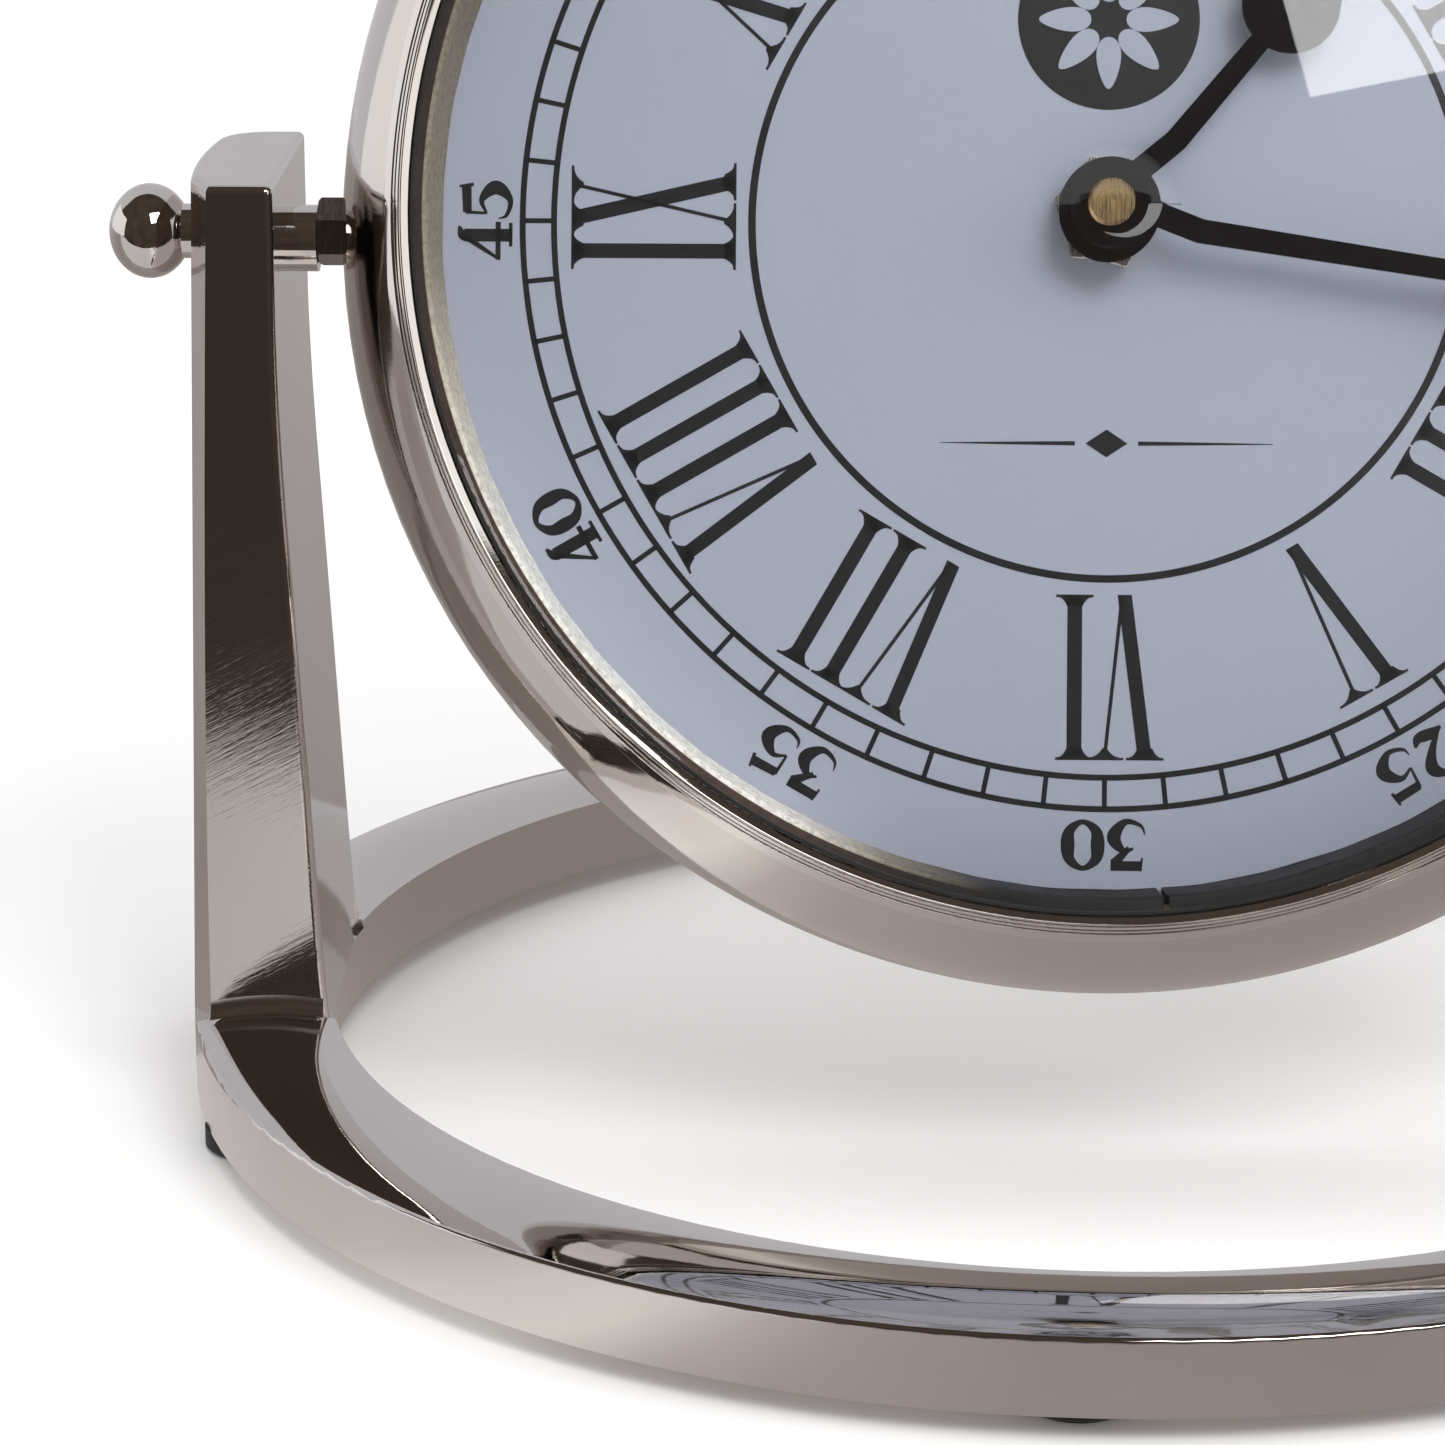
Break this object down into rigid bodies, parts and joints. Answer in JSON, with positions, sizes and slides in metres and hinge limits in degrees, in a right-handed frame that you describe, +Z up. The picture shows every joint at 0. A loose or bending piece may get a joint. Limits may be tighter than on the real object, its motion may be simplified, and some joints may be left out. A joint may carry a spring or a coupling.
{
  "type": "mantel clock",
  "caption": "Round metal mantel clock whose drum case tilts between two uprights on a ring base, with domed glass and a quartz movement.",
  "frame": {"origin": "on the table plane under the centre of the ring base", "axes": "+X to the viewer's right along the tilt axis, +Y away from the viewer, +Z up; the dial faces -Y and leans back 18 degrees"},
  "size_m": [0.2326, 0.2166, 0.1905],
  "materials": {
    "nickel_ring": "polished and satin nickel plate on a cast ring",
    "nickel_upright": "polished and brushed nickel plate",
    "screw_steel": "bright zinc plate",
    "foot_rubber": "moulded",
    "nickel_knob": "polished",
    "stud_steel": "turned",
    "spacer_nickel": "polished",
    "nut_steel": "machined and plated",
    "nickel_case": "polished nickel plate on spun metal",
    "bezel_nickel": "turned and polished",
    "gasket_black": "soft",
    "glass": "clear, domed",
    "reflector_beige": "semi-gloss",
    "dial_silver": "matt silver grey, printed",
    "cover_nickel": "satin nickel plate",
    "movement_black": "moulded",
    "plate_black": "moulded",
    "cushion_rubber": "soft",
    "centre_nut_nickel": "nickel plate",
    "battery_wrap": "shrink sleeve over steel",
    "contact_nickel": "nickel plated spring steel",
    "board_green": "glass-epoxy laminate",
    "stator_steel": "soft iron lamination",
    "coil_copper": "enamelled copper wire",
    "magnet_grey": "sintered magnet on a steel arbor",
    "wheel_white": "acetal",
    "shaft_white": "acetal",
    "hand_black": "gloss black",
    "cap_brass": "turned"
  },
  "bodies": {
    "stand": {"base_ring": "nickel_ring", "upright_left": "nickel_upright", "upright_right": "nickel_upright", "upright_screws": "screw_steel", "feet": "foot_rubber", "pivot_spacer_left": "spacer_nickel", "pivot_spacer_right": "spacer_nickel"},
    "case": {"case_shell": "nickel_case", "bezel": "bezel_nickel", "glass_gasket": "gasket_black", "glass": "glass", "reflector_ring": "reflector_beige", "dial": "dial_silver", "back_cover": "cover_nickel", "back_cover_screws": "screw_steel", "pivot_knob_left": "nickel_knob", "pivot_knob_right": "nickel_knob", "pivot_stud_left": "stud_steel", "pivot_stud_right": "stud_steel", "pivot_washer_left": "nut_steel", "pivot_washer_right": "nut_steel", "pivot_jam_nut_left": "nut_steel", "pivot_jam_nut_right": "nut_steel", "pivot_inner_nut_left": "nut_steel", "pivot_inner_nut_right": "nut_steel", "movement_case": "movement_black", "movement_plate": "plate_black", "movement_cushion": "cushion_rubber", "centre_nut": "centre_nut_nickel", "battery": "battery_wrap", "battery_contact_positive": "contact_nickel", "battery_contact_negative": "contact_nickel", "circuit_board": "board_green", "stator": "stator_steel", "coil_core": "stator_steel", "coil": "coil_copper"},
    "minute": {"minute_shaft": "shaft_white", "minute_hand": "hand_black", "hand_cap": "cap_brass"},
    "hour": {"hour_wheel": "wheel_white", "hour_hand": "hand_black"},
    "minute_wheel": {"minute_wheel": "wheel_white"},
    "set_knob": {"set_knob": "wheel_white"},
    "rotor": {"rotor": "magnet_grey"}
  },
  "joints": [
    {"name": "case_tilt", "type": "hinge", "parent": "stand", "child": "case", "pos_m": [0, 0, 0.1036], "axis": [1, 0, 0], "continuous": true},
    {"name": "minute_spin", "type": "hinge", "parent": "case", "child": "minute", "pos_m": [0, 0, 0.1036], "axis": [0, 0.9511, -0.309], "continuous": true},
    {"name": "hour_spin", "type": "hinge", "parent": "case", "child": "hour", "pos_m": [0, 0, 0.1036], "axis": [0, 0.9511, -0.309], "continuous": true},
    {"name": "minute_wheel_spin", "type": "hinge", "parent": "case", "child": "minute_wheel", "pos_m": [-0.00778, 0.0024, 0.111], "axis": [0, 0.9511, -0.309], "continuous": true},
    {"name": "set_knob_spin", "type": "hinge", "parent": "case", "child": "set_knob", "pos_m": [-0.00778, 0.00557, 0.12075], "axis": [0, 0.9511, -0.309], "continuous": true},
    {"name": "rotor_spin", "type": "hinge", "parent": "case", "child": "rotor", "pos_m": [0.014, 0.0024, 0.111], "axis": [0, 0.9511, -0.309], "continuous": true}
  ],
  "couplings": [
    {"joint": "hour_spin", "follows": "minute_spin", "ratio": 0.083333},
    {"joint": "minute_wheel_spin", "follows": "minute_spin", "ratio": -0.33333},
    {"joint": "set_knob_spin", "follows": "minute_spin", "ratio": 1.375}
  ]
}
